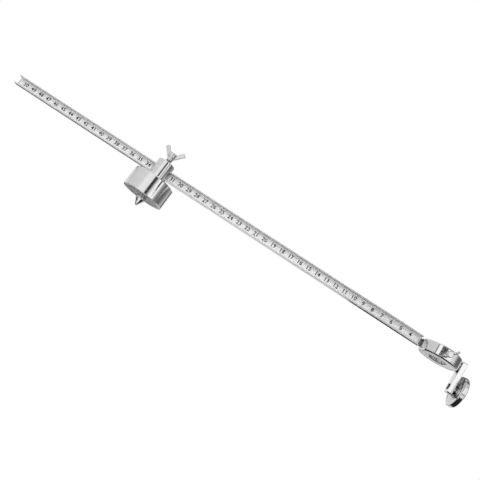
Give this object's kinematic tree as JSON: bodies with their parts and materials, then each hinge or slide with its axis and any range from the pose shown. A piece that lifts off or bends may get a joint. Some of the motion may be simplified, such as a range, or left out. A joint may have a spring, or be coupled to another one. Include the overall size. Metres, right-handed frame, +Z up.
{
  "type": "torch circle cutting guide",
  "caption": "Circle cutting guide for a torch: magnetic base with a sprung centre point, turning neck, sliding scaled bar, torch ring and support wheel.",
  "frame": {"origin": "tip of the centre point, on the axis about which the guide turns", "axes": "+X along the bar towards the torch ring, +Z up along the pivot axis, the scale faces -Y"},
  "size_m": [0.5351, 0.0505, 0.0704],
  "materials": {
    "base_chrome": "polished chrome plate, turned",
    "neck_chrome": "polished chrome plate, turned",
    "ring_chrome": "polished chrome plate, turned",
    "wheel_steel": "polished steel, turned",
    "bracket_steel": "polished steel",
    "bar_steel": "bright drawn steel",
    "scale_face": "satin metal with black printed scale",
    "screw_zinc": "bright zinc plate",
    "fastener_steel": "bright zinc plate",
    "washer_steel": "bright zinc plate",
    "point_steel": "ground steel",
    "spring_steel": "drawn spring wire",
    "bearing_steel": "ground bearing steel",
    "shield_steel": "pressed steel",
    "bush_brass": "turned brass",
    "magnet_nickel": "nickel plate"
  },
  "bodies": {
    "base": {"base_housing": "base_chrome", "swivel_bush": "bush_brass", "ring_magnet": "magnet_nickel", "guide_sleeve": "bush_brass", "point_spring": "spring_steel"},
    "centre_point": {"centre_point": "point_steel"},
    "neck": {"neck_block": "neck_chrome", "spindle_clip": "spring_steel", "thrust_washer": "washer_steel"},
    "clamp_tip": {"clamp_tip": "bush_brass"},
    "clamp_screw": {"clamp_screw": "screw_zinc"},
    "bar": {"scale_bar": "bar_steel", "scale_tape": "scale_face", "torch_ring": "ring_chrome", "tongue_screws": "fastener_steel", "wheel_bracket": "bracket_steel", "bracket_washer": "washer_steel", "bracket_screw": "fastener_steel", "axle_bolt": "fastener_steel", "axle_spacer": "washer_steel", "axle_washer": "washer_steel", "bearing_inner_race": "bearing_steel"},
    "torch_tip": {"torch_tip": "bush_brass"},
    "torch_screw": {"torch_screw": "screw_zinc"},
    "wheel": {"wheel_rim": "wheel_steel", "bearing_outer_race": "bearing_steel", "bearing_balls": "bearing_steel", "bearing_shields": "shield_steel"}
  },
  "joints": [
    {"name": "neck_swivel", "type": "hinge", "parent": "base", "child": "neck", "pos_m": [0, 0, 0.0325], "axis": [0, 0, 1], "continuous": true},
    {"name": "bar_slide", "type": "slide", "parent": "neck", "child": "bar", "axis": [1, 0, 0], "range_m": [-0.266, 0.172]},
    {"name": "clamp_tip_slide", "type": "slide", "parent": "neck", "child": "clamp_tip", "axis": [0, 0, 1], "range_m": [0, 0.0016]},
    {"name": "clamp_screw_turn", "type": "hinge", "parent": "clamp_tip", "child": "clamp_screw", "pos_m": [0, 0, 0.055], "axis": [0, 0, 1], "range_deg": [0, 720.5]},
    {"name": "torch_tip_slide", "type": "slide", "parent": "bar", "child": "torch_tip", "axis": [0, -1, 0], "range_m": [-0.0014, 0.0007]},
    {"name": "torch_screw_turn", "type": "hinge", "parent": "torch_tip", "child": "torch_screw", "pos_m": [0.315, -0.018, 0.0404], "axis": [0, -1, 0], "range_deg": [-720.5, 360.5]},
    {"name": "wheel_spin", "type": "hinge", "parent": "bar", "child": "wheel", "pos_m": [0.3435, 0, 0.0206], "axis": [1, 0, 0], "continuous": true},
    {"name": "point_slide", "type": "slide", "parent": "base", "child": "centre_point", "axis": [0, 0, 1], "range_m": [0, 0.0107], "stiffness_N_per_m": 100, "springref_m": -0.01, "deforming": ["point_spring"]}
  ],
  "couplings": [
    {"joint": "clamp_screw_turn", "follows": "clamp_tip_slide", "rad_per_m": 7854},
    {"joint": "torch_screw_turn", "follows": "torch_tip_slide", "rad_per_m": 8976}
  ]
}
